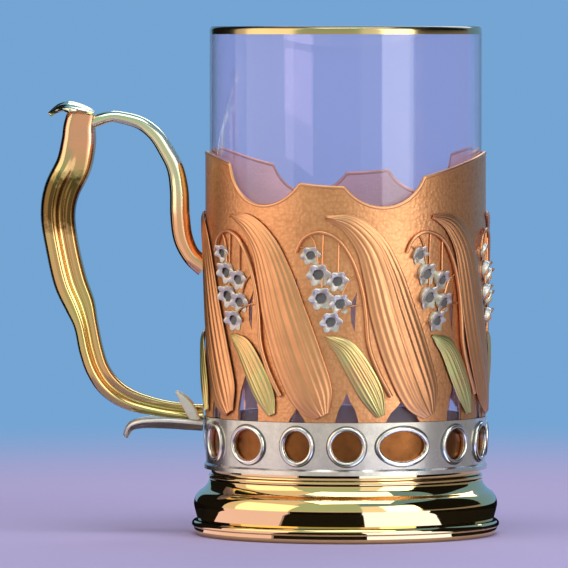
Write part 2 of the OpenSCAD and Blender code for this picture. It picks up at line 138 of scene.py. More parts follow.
# The dips in the sleeve's rim over half a turn: azimuth in degrees and depth as a share of the deepest
DIP_SHARE = ((-36, 0.92), (15, 1))

# How finely the turned pieces are divided
TURN_STEPS = 256

# The sleeve's thin metal behind the band, which fills the openings with painted shade: its gap to the glass
# and its thickness
HEM_GAP = 0.12 * MM
HEM_T = 0.12 * MM
# The thumb leaf's and the bracket leaf's metal
BOWED_T = 1.2 * MM
# Faces this far inside the sleeve's radius are its inner faces
INNER_DEPTH = 0.4 * MM
# How far below the glass's top the painted dark reflection on its gilt starts, and where it is full
LIP_DARK_FROM, LIP_DARK_TO = 0.55 * MM, 0.3 * MM

# The cards that the polished metal reflects: azimuths and elevations in degrees, and the colour they glow in
CARDS = (("left_shade", (-156, -107), (0, 70), (0, 0, 0)),
         ("warm", (-107, -46), (0, 70), (0.86, 0.77, 0.76)),
         ("middle", (-46, 12), (0, 9), (0.66, 0.63, 0.60)),
         ("pale_sky", (-46, 12), (9, 60), (0.44, 0.64, 0.58)),
         ("bright", (12, 60), (0, 40), (1.12, 1.12, 1.12)),
         ("right_haze", (60, 125), (0, 8), (0.26, 0.26, 0.28)),
         ("right_shade", (60, 125), (8, 52), (0, 0, 0)))
FENCES = (("left_shade", (-150, -76), (0, 0, 0)),
          ("warm", (-76, -31), (1.0, 0.80, 1.15)),
          ("middle_shade", (-30, 8), (0, 0, 0)),
          ("bright", (8, 46), (1.35, 1.7, 3.0)),
          ("right_shade", (46, 150), (0, 0, 0)))
# How far off the cards stand, how near their floor strips come, and how high these lie
CARD_R = 1.35
CARD_NEAR = 0.13
CARD_Z = 0.6 * MM
CARD_BLACK = 0.015
# A low fence close round the foot, as radius and height
FENCE = ((39.2 * MM, CARD_Z), (60 * MM, CARD_Z), (60 * MM, 8.6 * MM))

# The softboxes: azimuth and elevation in degrees, distance, width and height, power, colour, and whether
# the glass shows them
WHITE = (1, 1, 1)
LAMPS = (("window", (44, 12), 1.0, (0.5, 0.9), 3.8, WHITE, True),
         ("warm_fill", (-68, 14), 1.1, (1.0, 1.1), 4.0, (1.0, 0.84, 0.68), False),
         ("top", (10, 72), 1.0, (0.8, 0.5), 3.5, WHITE, True),
         ("back", (165, 35), 1.2, (0.8, 0.4), 3.0, WHITE, True))
LAMP_AIM = Vector((0, 0, 60 * MM))
# The soft light from all round
SKY_LIGHT = (0.9, 0.93, 1.0)
SKY_STRENGTH = 0.35
# The floor, and the distances between which it fades into the backdrop
FLOOR_R = 0.6
FLOOR_FADE = (0.14, 0.55)
# The camera, as far off as the photograph's perspective says
CAMERA_LENS = 443.8
CAMERA_AT = Vector((-15.4, -1750, 126.6)) * MM
CAMERA_AIM = Vector((-15.4, 0, 62.5)) * MM

# The sleeve's inside: a pale gilt, painted light that stands for the light the glass lets reach it
SLEEVE_INSIDE_PAINTED_LIGHT = (0.97, 0.82, 0.68)
# The hem behind the openings, in painted shade: its paler and its deeper tone
HEM_SHADE_PALE = (0.27, 0.10, 0.03)
HEM_SHADE_DEEP = (0.10, 0.035, 0.01)
# The glass, and the gilt on its rim: two casts, and the painted dark reflection along the lip's top
GLASS_TINT = (1.0, 0.86, 0.985)
RIM_COPPER = (0.62, 0.40, 0.20)
RIM_OLIVE = (0.50, 0.47, 0.20)
RIM_PAINTED_DARK = (0.13, 0.12, 0.09)
# The cast of the narrow leaves
GREEN_GILT = (0.60, 0.58, 0.23)
# The handle's colours, with a painted highlight high on the arm and painted shade in the blade's upper bend:
# its colours, the heights between which one gives way to the other, the middle of the painted shade in the
# bend as x and z, and its radius
BLADE_OLIVE = (0.54, 0.49, 0.18)
BLADE_COPPER = (0.92, 0.46, 0.26)
BLADE_SHADE = (0.10, 0.055, 0.015)
ARM_PAINTED_HIGHLIGHT = (0.74, 0.73, 0.46)
ARM_COPPER = (0.88, 0.50, 0.27)
BLADE_TURN = (88 * MM, 98 * MM)
ARM_TURN = (78 * MM, 87 * MM)
BEND = (-71.0 * MM, 83.0 * MM)
BEND_R = 9 * MM


class HolderSizes(bpy.types.PropertyGroup):
    """The sizes that a user would change. A length is in metres."""
    broad_w: FloatProperty(name="Broad leaf", description="Width of a broad leaf", default=12.5 * MM,
                           unit="LENGTH")
    narrow_w: FloatProperty(name="Narrow leaf", description="Width of a narrow leaf", default=6.4 * MM,
                            unit="LENGTH")
    leaf_relief: FloatProperty(name="Leaf relief", description="How far a leaf's crown stands out",
                               default=1.15 * MM, unit="LENGTH")
    vein_depth: FloatProperty(name="Vein depth", description="Depth of the veins chased into a leaf",
                              default=0.12 * MM, unit="LENGTH")
    veins: IntProperty(name="Veins", description="Veins on each side of a broad leaf's midrib", default=4)
    sheet_t: FloatProperty(name="Leaf sheet", description="Thickness of a leaf's metal", default=0.3 * MM,
                           unit="LENGTH")
    stem_d: FloatProperty(name="Stem", description="Diameter of a flower stem", default=1.2 * MM,
                          unit="LENGTH")
    bell_d: FloatProperty(name="Bell", description="Diameter of the largest bell's mouth", default=5 * MM,
                          unit="LENGTH")
    bell_tilt: FloatProperty(name="Bell tilt", description="Tilt of a bell's mouth from straight outwards",
                             default=math.radians(24), subtype="ANGLE")
    blade_w: FloatProperty(name="Blade profile", description="Widest profile of the handle blade",
                           default=9 * MM, unit="LENGTH")
    blade_d: FloatProperty(name="Blade thickness", description="Thickness of the handle blade across",
                           default=8 * MM, unit="LENGTH")
    arm_w: FloatProperty(name="Arm profile", description="Widest profile of the upper arm", default=5 * MM,
                         unit="LENGTH")
    arm_d: FloatProperty(name="Arm thickness", description="Thickness of the upper arm across",
                         default=5.4 * MM, unit="LENGTH")
    thumb_w: FloatProperty(name="Thumb leaf", description="Width of the thumb leaf", default=15 * MM,
                           unit="LENGTH")
    bracket_w: FloatProperty(name="Bracket leaf", description="Width of the silver bracket leaf",
                             default=11 * MM, unit="LENGTH")
    eye_h: FloatProperty(name="Opening", description="Height of a gallery opening", default=7.6 * MM,
                         unit="LENGTH")
    eye_rim: FloatProperty(name="Opening rim", description="Width of the raised rim round an opening",
                           default=1.1 * MM, unit="LENGTH")


class HolderColours(bpy.types.PropertyGroup):
    """The colours of the finishes and of the stage, as linear values."""
    gilt: FloatVectorProperty(name="Gilt", description="Chased gilt", subtype="COLOR", size=3,
                              default=(0.76, 0.365, 0.17))
    # The deeper gilt of the ground's darker clouds: partly patina, partly painted shade between the leaves
    gilt_deep: FloatVectorProperty(name="Deep gilt", description="Gilt in the recesses", subtype="COLOR",
                                   size=3, default=(0.36, 0.13, 0.035))
    gilt_bright: FloatVectorProperty(name="Bright gilt", description="Polished gilt", subtype="COLOR", size=3,
                                     default=(0.90, 0.62, 0.26))
    silver: FloatVectorProperty(name="Silver", description="Silver plate", subtype="COLOR", size=3,
                                default=(0.90, 0.85, 0.74))
    # The colour of the painted shade inside the bells and round the opening rims
    silver_deep: FloatVectorProperty(name="Deep silver", description="Silver in the recesses",
                                     subtype="COLOR", size=3, default=(0.25, 0.24, 0.24))
    backdrop: FloatVectorProperty(name="Backdrop", description="What the camera sees behind", subtype="COLOR",
                                  size=3, default=(0.175, 0.375, 0.655))
    floor: FloatVectorProperty(name="Floor", description="The floor", subtype="COLOR", size=3,
                               default=(0.50, 0.455, 0.75))


def sizes():
    return bpy.context.scene.holder_sizes


# Points and curves

def around(r, azimuth, z):
    """A point at a radius, an azimuth from the front towards +X, and a height."""
    return Vector((r * math.sin(azimuth), -r * math.cos(azimuth), z))


def on_sleeve(out, azimuth, place):
    """A point out from the sleeve's face. Its place is the way round from an azimuth, and the height."""
    return around(WRAP_R + out, azimuth + place[0] / WRAP_R, SLEEVE_LOW[2] + place[1])


def clamp(value):
    return min(max(value, 0.0), 1.0)


def ridge(distance, width):
    """1 on a line, and falling off smoothly beside it."""
    return math.exp(-(distance / width) ** 2)


def along(table, t):
    """A point on the smooth curve through a table's rows, at t from 0 to 1."""
    last = len(table) - 1
    place = clamp(t) * last
    i = min(int(place), last - 1)
    s = place - i
    rows = [table[min(max(i + k, 0), last)] for k in (-1, 0, 1, 2)]
    return [((2 * b) + (c - a) * s + (2 * a - 5 * b + 4 * c - d) * s * s
             + (3 * b - a - 3 * c + d) * s * s * s) / 2 for a, b, c, d in zip(*rows)]


def smooth(table, steps):
    """Evenly counted points on the curve through a table's rows."""
    return [tuple(along(table, k / steps)) for k in range(steps + 1)]


def heading(table, t, step=0.004):
    """Direction of a table's curve at t, in its first two columns."""
    a, b = along(table, t - step), along(table, t + step)
    return Vector((b[0] - a[0], b[1] - a[1])).normalized()


def arc(middle, radius, start, end, steps):
    """Points of radius and height on an arc round a middle, between two angles in half turns."""
    turns = (math.pi * (start + (end - start) * k / steps) for k in range(steps + 1))
    return [(middle[0] + radius * math.cos(a), middle[1] + radius * math.sin(a)) for a in turns]


def from_corner(corner, *points):
    """Places of radius and height, each given in millimetres from a corner."""
    return [(corner[0] + r * MM, corner[1] + z * MM) for r, z in points]


def scaled(table, *units):
    """A table of shares with each column in its own unit."""
    return [tuple(value * unit for value, unit in zip(row, units)) for row in table]


# Meshes

def placed(bm, name, material):
    """Turns a bmesh into an object of one material."""
    mesh = bpy.data.meshes.new(name)
    bm.to_mesh(mesh)
    bm.free()
    mesh.materials.append(material)
    obj = bpy.data.objects.new(name, mesh)
    bpy.context.scene.collection.objects.link(obj)
    return obj


def piece(bm, name, material, slot, body=HOLDER, sharp=38.0):
    """Turns a bmesh into a smooth-shaded object that rides a body. One named as a CAD node replaces it."""
    for face in bm.faces:
        face.smooth = True
    limit = math.radians(sharp)
    for edge in bm.edges:
        edge.smooth = not (edge.is_manifold and edge.calc_face_angle(0.0) > limit)
    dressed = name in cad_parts
    obj = placed(bm, f"{name}_dressed" if dressed else name, finish(material))
    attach(obj, body)
    if dressed:
        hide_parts(name)
    return obj


def loft(bm, rings, closed=False):
    """A bar through rings of equally many points: each ring is extruded from the one before."""
    place = bm.verts.layers.int.get("place") or bm.verts.layers.int.new("place")
    made = bmesh.ops.create_circle(bm, cap_ends=False, segments=len(rings[0]), radius=1.0)["verts"]
    for i, vert in enumerate(made):
        vert[place] = i
        vert.co = rings[0][i]
    loop = list({edge for vert in made for edge in vert.link_edges})
    first = list(loop)
    for ring in rings[1:]:
        geom = bmesh.ops.extrude_edge_only(bm, edges=loop)["geom"]
        loop = [g for g in geom if isinstance(g, bmesh.types.BMEdge)]
        for vert in geom:
            if isinstance(vert, bmesh.types.BMVert):
                vert.co = ring[vert[place]]
    if closed:
        bmesh.ops.bridge_loops(bm, edges=first + loop)
    else:
        bmesh.ops.holes_fill(bm, edges=first, sides=0)
        bmesh.ops.holes_fill(bm, edges=loop, sides=0)
    bmesh.ops.recalc_face_normals(bm, faces=bm.faces[:])


def outwards(p):
    """The direction away from the axis at a point."""
    return Vector((p.x, p.y, 0))


def spun(bm, profile, steps=TURN_STEPS):
    """A solid turned from a closed profile of radius and height."""
    verts = [bm.verts.new((r, 0.0, z)) for r, z in profile]
    edges = [bm.edges.new((verts[i], verts[(i + 1) % len(verts)])) for i in range(len(verts))]
    bmesh.ops.spin(bm, geom=verts + edges, cent=(0, 0, 0), axis=(0, 0, 1), angle=math.tau, steps=steps,
                   use_merge=True, use_duplicate=False)
    bmesh.ops.remove_doubles(bm, verts=bm.verts[:], dist=1e-7)
    bmesh.ops.recalc_face_normals(bm, faces=bm.faces[:])


def turned(profile, name, material, slot, body=HOLDER):
    """A turned solid as a piece of its own."""
    bm = bmesh.new()
    spun(bm, profile)
    return piece(bm, name, material, slot, body)


def sheet(bm, columns, rows, place):
    """A grid shaped by a function of its place across (-1 to 1) and along (0 to 1)."""
    for vert in bmesh.ops.create_grid(bm, x_segments=columns, y_segments=rows, size=1.0)["verts"]:
        vert.co = place(vert.co.x, (vert.co.y + 1) / 2)


def face_outwards(bm, away):
    """Turns a sheet's faces so that they look along a direction at their middle."""
    bm.normal_update()
    if sum(face.normal.dot(away(face.calc_center_median())) for face in bm.faces) < 0:
        bmesh.ops.reverse_faces(bm, faces=bm.faces[:])


def thicken(obj, thickness):
    """Gives a sheet its metal, on the side away from its faces."""
    wall = obj.modifiers.new("metal", "SOLIDIFY")
    wall.thickness = thickness
    wall.offset = -1.0
    wall.use_even_offset = False


# Materials

class Value:
    """A shader value. Arithmetic on it adds Math nodes."""

    def __init__(self, nodes, socket):
        self.nodes, self.socket = nodes, socket

    def __add__(self, other):
        return self.nodes.math("ADD", self, other)

    def __sub__(self, other):
        return self.nodes.math("SUBTRACT", self, other)

    def __rsub__(self, other):
        return self.nodes.math("SUBTRACT", other, self)

    def __mul__(self, other):
        return self.nodes.math("MULTIPLY", self, other)

    __radd__ = __add__
    __rmul__ = __mul__

    def clamped(self):
        return self.nodes.math("MINIMUM", self.nodes.math("MAXIMUM", self, 0.0), 1.0)


class Nodes:
    """A node tree, with one way to add a node."""

    def __init__(self, tree):
        self.tree = tree

    def node(self, kind, settings=None, inputs=None, out=0):
        """Adds a node: its settings first, then the values or links of its sockets."""
        made = self.tree.nodes.new(kind)
        for key, value in (settings or {}).items():
            setattr(made, key, value)
        for key, value in (inputs or {}).items():
            self.feed(made.inputs[key], value)
        return Value(self, made.outputs[out]) if made.outputs else None

    def math(self, operation, *values):
        return self.node("ShaderNodeMath", {"operation": operation}, dict(enumerate(values)))

    def feed(self, socket, value):
        """Links a socket to a value, or sets it. A colour of three numbers gets its fourth."""
        if isinstance(value, Value):
            self.tree.links.new(value.socket, socket)
        elif isinstance(value, tuple) and len(value) == 3:
            socket.default_value = (*value, 1.0)
        else:
            socket.default_value = value

    def outputs(self, names, kind, inputs=None):
        """Adds a node and gives several of its outputs."""
        sockets = self.node(kind, {}, inputs).socket.node.outputs
        return [Value(self, sockets[name]) for name in names]


class Finish(Nodes):
    """A material, with the patterns that the finishes share."""

    def __init__(self, name, **constants):
        self.material = bpy.data.materials.new(name)
        self.material.use_nodes = True
        super().__init__(self.material.node_tree)
        self.shader = self.tree.nodes["Principled BSDF"]
        for socket, value in constants.items():
            self.set(socket.replace("_", " "), value)

    def set(self, socket, value):
        self.feed(self.shader.inputs[socket], value)

    def place(self):
        return self.node("ShaderNodeTexCoord", out="Object")

    def axes(self):
        return self.outputs("XYZ", "ShaderNodeSeparateXYZ", {0: self.place()})

    def inside(self):
        """1 on the inner faces of the sleeve and the band, and 0 on their outer faces."""
        x, y, _ = self.axes()
        return self.math("LESS_THAN", x * x + y * y, (SLEEVE_R - INNER_DEPTH) ** 2)

    def noise(self, scale, detail=2.0, roughness=0.5):
        return self.node("ShaderNodeTexNoise", {}, {
            "Vector": self.place(), "Scale": scale, "Detail": detail, "Roughness": roughness}, "Fac")

    def mix(self, factor, first, second):
        return self.node("ShaderNodeMix", {"data_type": "RGBA"}, {0: factor, 6: first, 7: second}, 2)

    def between(self, value, low, high):
        """0 where a value is below low, 1 where it is above high, and even between them."""
        return self.node("ShaderNodeMapRange", {}, {"Value": value, "From Min": low, "From Max": high})

    def bump(self, height, strength, distance=0.05 * MM):
        self.set("Normal", self.node("ShaderNodeBump", {}, {
            "Height": height, "Strength": strength, "Distance": distance}, "Normal"))


def shade(name, share=1.0):
    """One of the user's colours, at a share of its brightness."""
    return tuple(value * share for value in getattr(bpy.context.scene.holder_colours, name))


def chased_gilt(name):
    """Satin gilt with the small marks of the chaser's punch, and deeper in colour in clouds."""
    f = Finish(name, Metallic=1.0)
    broad = f.noise(220.0, 3.0)
    fine = f.noise(2600.0, 4.0, 0.6)
    f.set("Base Color", f.mix((broad * 1.6 - 0.45).clamped(), shade("gilt"), shade("gilt", 0.82)))
    f.set("Roughness", 0.26 + 0.16 * fine + 0.08 * broad)
    f.bump(fine, 0.5)
    return f.material


def green_gilt(name):
    """The narrow leaves: the same chased gilt with a greener cast in patches."""
    f = Finish(name, Metallic=1.0)
    patch = f.noise(70.0, 2.0)
    fine = f.noise(2600.0, 4.0, 0.6)
    f.set("Base Color", f.mix((patch * 2.4 - 1.0).clamped(), GREEN_GILT, shade("gilt")))
    f.set("Roughness", 0.28 + 0.16 * fine)
    f.bump(fine, 0.4)
    return f.material


def ground_gilt(name):
    """The sleeve between the leaves: matted with a round punch, darker in clouds that are partly patina and
    partly painted shade between the leaves, and darker than its inside, which is painted light.
    """
    f = Finish(name, Metallic=1.0)
    cells = {"Vector": f.place(), "Scale": 1250.0, "Randomness": 0.75}
    punch = f.node("ShaderNodeTexVoronoi", {"feature": "SMOOTH_F1"}, cells, "Distance")
    fine = f.noise(2200.0, 3.0, 0.6)
    broad = f.noise(110.0, 3.0)
    # Darker clouds: partly patina, partly painted shade between the leaves. The inside's pale gilt is painted
    # light.
    dark_share = (punch * 0.7 + broad * 0.5 - 0.38).clamped()
    f.set("Base Color", f.mix(f.inside(), f.mix(dark_share, shade("gilt"), shade("gilt_deep")), SLEEVE_INSIDE_PAINTED_LIGHT))
    f.set("Roughness", 0.3 + 0.14 * fine + 0.1 * broad)
    f.bump(1.0 - punch + fine * 0.2, 0.55, 0.12 * MM)
    return f.material


def hem_gilt(name):
    """The gilt behind the band's openings, in painted shade, paler and deeper in clouds."""
    f = Finish(name, Metallic=1.0)
    cloud = f.noise(160.0, 4.0, 0.6)
    f.set("Base Color", f.mix((cloud * 1.8 - 0.5).clamped(), HEM_SHADE_PALE, HEM_SHADE_DEEP))
    f.set("Roughness", 0.2 + 0.2 * cloud)
    f.bump(f.noise(900.0, 3.0), 0.2)
    return f.material


def polished_gilt(name):
    """Mirror gilt with a little handling haze."""
    f = Finish(name, Metallic=1.0)
    haze = f.noise(90.0, 4.0, 0.6)
    f.set("Base Color", f.mix(haze, shade("gilt_bright"), shade("gilt_bright", 0.94)))
    f.set("Roughness", 0.03 + 0.09 * haze * haze)
    f.bump(f.noise(260.0), 0.04)
    return f.material


def rim_gilt(name):
    """The fired gilt on the glass: coppery, with a painted dark reflection along the lip's top."""
    f = Finish(name, Metallic=1.0)
    cloud = f.noise(120.0, 3.0)
    band = f.mix((cloud * 1.8 - 0.4).clamped(), RIM_COPPER, RIM_OLIVE)
    # A painted dark reflection along the lip's top
    dark_share = f.between(f.axes()[2], GLASS_HIGH[2] - LIP_DARK_FROM, GLASS_HIGH[2] - LIP_DARK_TO)
    f.set("Base Color", f.mix(dark_share, band, RIM_PAINTED_DARK))
    f.set("Roughness", 0.1 + 0.12 * cloud)
    return f.material


def blade_gilt(name):
    """Gilt of the blade: copper at the flat top, with painted shade in the upper bend, and yellower below."""
    f = Finish(name, Metallic=1.0)
    x, _, z = f.axes()
    patch = f.noise(60.0, 3.0)
    streaks = f.noise(420.0, 3.0, 0.6)
    below = f.mix((patch * 1.8 - 0.65).clamped(), BLADE_OLIVE, shade("gilt"))
    plain = f.mix(f.between(z, *BLADE_TURN), below, BLADE_COPPER)
    # Painted shade in the upper bend, streaked by the noise
    off = (z - BEND[1]) * 1.3
    aside = x - BEND[0]
    bend_shade = (1.6 - (off * off + aside * aside) * (1 / BEND_R ** 2) + (streaks - 0.5) * 2.4).clamped()
    f.set("Base Color", f.mix(bend_shade * 0.94, plain, BLADE_SHADE))
    f.set("Roughness", 0.11 + 0.1 * patch)
    f.bump(f.noise(300.0), 0.12)
    return f.material


def arm_gilt(name):
    """Gilt of the arm and the thumb leaf: pale high up, a painted highlight, and coppery where the arm comes
    down to the sleeve.
    """
    f = Finish(name, Metallic=1.0)
    cloud = f.noise(70.0, 3.0)
    # Higher up the paler colour is a painted highlight
    f.set("Base Color", f.mix(f.between(f.axes()[2], *ARM_TURN), ARM_COPPER, ARM_PAINTED_HIGHLIGHT))
    f.set("Roughness", 0.08 + 0.1 * cloud)
    f.bump(f.noise(300.0), 0.12)
    return f.material


def plated_silver(name):
    """Bright silver plate, a little cloudy, over gilt on the band's inner side."""
    f = Finish(name, Metallic=1.0)
    cloud = f.noise(420.0, 4.0, 0.6)
    outside = f.mix((cloud * 1.5 - 0.35).clamped(), shade("silver", 0.94), shade("silver", 0.68))
    f.set("Base Color", f.mix(f.inside(), outside, shade("gilt")))
    f.set("Roughness", 0.17 + 0.16 * cloud)
    f.bump(f.noise(260.0, 3.0) + 0.25 * f.noise(1500.0, 3.0), 0.3, 0.12 * MM)
    return f.material


def satin_silver(name):
    """Frosted silver of the bells and the bracket, brighter on its raised grains."""
    f = Finish(name, Metallic=1.0)
    grain = f.noise(1400.0, 3.0, 0.6)
    f.set("Base Color", f.mix(grain, shade("silver", 0.68), shade("silver", 0.95)))
    f.set("Roughness", 0.34 + 0.2 * grain)
    f.bump(grain, 0.35)
    return f.material


def dark_silver(name):
    """Painted shade inside a bell and in the dark line round each opening's rim."""
    f = Finish(name, Metallic=1.0)
    cloud = f.noise(900.0, 3.0)
    f.set("Base Color", f.mix(cloud, shade("silver_deep", 0.35), shade("silver_deep")))
    f.set("Roughness", 0.45 + 0.2 * cloud)
    return f.material


def clear_glass(name):
    """Clear glass with a faint lavender cast and a trace of haze."""
    f = Finish(name, Transmission_Weight=0.97, IOR=1.45, Base_Color=GLASS_TINT)
    f.set("Roughness", 0.01 * f.noise(40.0))
    return f.material


def stage_floor(name):
    """A pale floor that fades into the backdrop with the distance from the holder."""
    f = Finish(name, Roughness=0.6, Specular_IOR_Level=0.0, Base_Color=shade("floor"))
    away = f.node("ShaderNodeVectorMath", {"operation": "LENGTH"}, {0: f.place()}, "Value")
    near, far = FLOOR_FADE
    f.set("Alpha", f.node("ShaderNodeMapRange", {"interpolation_type": "SMOOTHERSTEP"}, {
        "Value": away, "From Min": near, "From Max": far, "To Min": 1.0, "To Max": 0.0}))
    return f.material


def card_cloth(name, glow):
    """Black cloth without a shine, or lit evenly in a colour."""
    f = Finish(name, Base_Color=(CARD_BLACK,) * 3, Roughness=1.0, Specular_IOR_Level=0.0)
    f.set("Emission Color", glow)
    f.set("Emission Strength", 1.0 if any(glow) else 0.0)
    return f.material


MAKERS = {"gilt": chased_gilt, "green_gilt": green_gilt, "ground": ground_gilt, "hem": hem_gilt,
          "mirror_gilt": polished_gilt, "rim_gilt": rim_gilt, "blade_gilt": blade_gilt, "arm_gilt": arm_gilt,
          "silver": plated_silver, "satin_silver": satin_silver, "dark_silver": dark_silver,
          "glass": clear_glass}
MATERIALS = {}


def finish(name):
    """A material by name, made on its first use."""
    if name not in MATERIALS:
        MATERIALS[name] = MAKERS[name](name)
    return MATERIALS[name]


# Leaves and bars

def leaf_surface(table, wide, azimuth, veins):
    """A leaf's outer face, as a function of place across and along: bowed, with veins, a groove along its
    midrib between two ridges, and a rolled edge."""
    s = sizes()
    rows = scaled(table, PITCH, FIELD, wide / 2)
    edge, groove, ridges, roll = 0.32 * MM, 0.3 * MM, 0.12 * MM, 0.16 * MM
    thinnest = 0.02 * MM
    # Shares of the half width: the ridges' distance from the midrib, and how far ridges and roll spread
    beside, line, border = 0.13, 0.06, 0.09

    def place(v, t):
        p, d = along(rows, t), heading(rows, t)
        half = max(p[2], thinnest)
        fullness = min(1.0, 2 * half / wide)
        bowl = s.leaf_relief * (0.4 + 0.6 * fullness) * (1 - v * v) ** 0.75
        vein = s.vein_depth * math.cos(math.tau * veins * abs(v)) * fullness * (1 - v * v)
        midrib = ridges * ridge(abs(v) - beside, line) - groove * ridge(v, line) * fullness
        out = edge + bowl * 0.85 + vein + midrib + roll * ridge(1 - abs(v), border)
        return on_sleeve(out, azimuth, (p[0] + d[1] * v * half, p[1] - d[0] * v * half))
    return place


def wrapped_leaf(table, wide, i, name, columns, rows, veins, material="gilt"):
    """The leaf of one spray, laid round the sleeve."""
    bm = bmesh.new()
    sheet(bm, columns, rows, leaf_surface(table, wide, FIRST_SPRAY + MODULE * i, veins))
    face_outwards(bm, outwards)
    obj = piece(bm, f"{name}_{i + 1}", material, "gilt", sharp=60.0)
    thicken(obj, sizes().sheet_t)


def tube(bm, points, radii, sides=12, closed=False):
    """A round bar along points in space. Its section starts on the side away from the axis."""
    rings = []
    count = len(points)
    for i, p in enumerate(points):
        before = points[(i - 1) % count] if closed else points[max(i - 1, 0)]
        after = points[(i + 1) % count] if closed else points[min(i + 1, count - 1)]
        d = (after - before).normalized()
        a = outwards(p).normalized()
        a = (a - d * a.dot(d)).normalized()
        b = d.cross(a)
        rings.append([p + (a * math.cos(math.tau * k / sides) + b * math.sin(math.tau * k / sides)) * radii[i]
                      for k in range(sides)])
    loft(bm, rings, closed)


class HOLDER_OT_foot(bpy.types.Operator):
    """The spun foot, its rest lip and its collar"""
    bl_idname = "holder.foot"
    bl_label = "Foot"

    def execute(self, context):
        top, bottom = FOOT_HIGH[2], FOOT_LOW[2]
        neck = COLLAR_HIGH[0]
        wall = 1.0 * MM
        rim = from_corner((neck, top), (0, 0), (0.05, -0.5), (0.35, -1.3), (1.3, -2.4), (2.6, -3.4))
        rim += from_corner((FOOT_R, top), (-0.3, -4.7), (0, -6.2), (-0.3, -7.8))
        rim += from_corner((FOOT_R, bottom), (-0.95, 0))
        outer = smooth(rim, 56)
        inner = [(r - wall * 1.5, min(z, top - wall)) for r, z in reversed(outer)]
        turned(outer + inner, "foot_shell", "mirror_gilt", "gilt_polished")

        h = RING_HIGH[2]
        lip = from_corner((LIP_R, 0), (-1.9, 0), (-1.3, 0.12), (-0.75, 0.7), (-0.6, 1.5), (-0.45, 2.05),
                          (-0.1, 2.3), (0, 2.75), (-0.12, 3.2))
        lip += from_corner((LIP_R, h), (-0.5, 0))
        near, far = LIP_R - 2.4 * MM, LIP_R - 3.4 * MM
        back = [(near, h), (near, h * 0.45), (far, h * 0.3), (far, 0)]
        turned(smooth(lip, 40) + back, "base_ring", "mirror_gilt", "gilt_polished")

        low, high = COLLAR_LOW[2], COLLAR_HIGH[2]
        bead = from_corner((neck, low), (-0.5, 0), (-0.1, 0.12), (0, 0.5), (-0.06, 1.0), (-0.42, 1.3),
                           (-0.5, 1.7))
        bead += from_corner((neck, high), (-0.4, 0))
        back = [(neck - 2 * MM, high), (neck - 2 * MM, low)]
        turned(smooth(bead, 30) + back, "foot_collar", "mirror_gilt", "gilt_polished")
        return {"FINISHED"}


class HOLDER_OT_gallery(bpy.types.Operator):
    """The silver band and the raised rims round its openings"""
    bl_idname = "holder.gallery"
    bl_label = "Gallery band"

    def execute(self, context):
        s = sizes()
        dress("gallery_band", "silver")
        low, high = BAND_LOW[2], BAND_HIGH[2]
        mid = low + (high - low) * EYE_MID_SHARE
        # The band is a little cone: its radius at its foot and at its top
        r_low, r_high = SLEEVE_R - 0.16 * MM, SLEEVE_R + 0.38 * MM
        # Half the width of the dark line round a rim, which is painted shade where the rim meets the band,
        # and how far line and rim stand out
        line = 0.17 * MM
        line_out, rim_out = 0.03 * MM, 0.28 * MM
        count = 48

        def ring(bm, degrees, share, beside, out, thick):
            """A closed bar round an opening, beside its edge and out from the band's face."""
            azimuth = math.radians(degrees)
            a, b = s.eye_h * share / 2 + beside, s.eye_h / 2 + beside
            points = []
            for k in range(count):
                turn = math.tau * k / count
                z = mid + b * math.sin(turn)
                r = r_low + (r_high - r_low) * (z - low) / (high - low)
                points.append(around(r + out, azimuth + math.asin(a * math.cos(turn) / r), z))
            tube(bm, points, [thick] * count, 10, closed=True)

        bm = bmesh.new()
        for degrees, share in EYE_SHARE:
            ring(bm, degrees, share, s.eye_rim / 2, rim_out, s.eye_rim / 2)
        bare = len(bm.faces)
        # Thin dark rings round the rims: painted shade where each rim meets the band
        for degrees, share in EYE_SHARE:
            ring(bm, degrees, share, s.eye_rim + line * 0.6, line_out, line)
        bm.faces.ensure_lookup_table()
        for face in bm.faces[bare:]:
            face.material_index = 1
        rims = piece(bm, "opening_rims", "silver", "silver_plate")
        rims.data.materials.append(finish("dark_silver"))
        return {"FINISHED"}


def dress(node, material):
    """Gives a CAD node that stays its finish."""
    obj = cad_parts[node]
    obj.data.materials.clear()
    obj.data.materials.append(finish(material))


def rim_height(azimuth):
    """Height of the sleeve's rim: a saddle between the handle's side and the far one, with round dips."""
    rise = SLEEVE_HIGH[2] - RIM_CREST
    saddle_r = (SLEEVE_R * SLEEVE_R + rise * rise) / (2 * rise)
    height = RIM_CREST + saddle_r - math.sqrt(saddle_r ** 2 - (SLEEVE_R * math.sin(azimuth)) ** 2)
    for half in (0, math.pi):
        for degrees, share in DIP_SHARE:
            beside = azimuth - math.radians(degrees) - half
            aside = SLEEVE_R * math.sin(beside)
            if math.cos(beside) > 0 and abs(aside) < DIP_R:
                centre = RIM_CREST - (RIM_CREST - RIM_LOW) * share + DIP_R
                height = min(height, centre - math.sqrt(DIP_R ** 2 - aside ** 2))
    return height


class HOLDER_OT_sleeve(bpy.types.Operator):
    """The sleeve and the floor plate as their own solids, the hem behind the band and the rim's bead"""
    bl_idname = "holder.sleeve"
    bl_label = "Sleeve"

    def execute(self, context):
        dress("sleeve", "ground")
        dress("floor_plate", "gilt")
        near = GLASS_R + HEM_GAP
        far = near + HEM_T
        low, high = BAND_LOW[2], BAND_HIGH[2]
        # A thin sheet behind the band, in painted shade where the openings show it
        turned([(near, low), (far, low), (far, high), (near, high)], "sleeve_hem", "hem", "gilt")

        bead = 0.5 * MM
        count = 720
        turns = [math.tau * k / count for k in range(count)]
        points = [around(SLEEVE_R - bead * 0.7, turn, rim_height(turn) - bead * 0.4) for turn in turns]
        bm = bmesh.new()
        tube(bm, points, [bead] * count, 10, closed=True)
        piece(bm, "rim_bead", "gilt", "gilt")
        return {"FINISHED"}


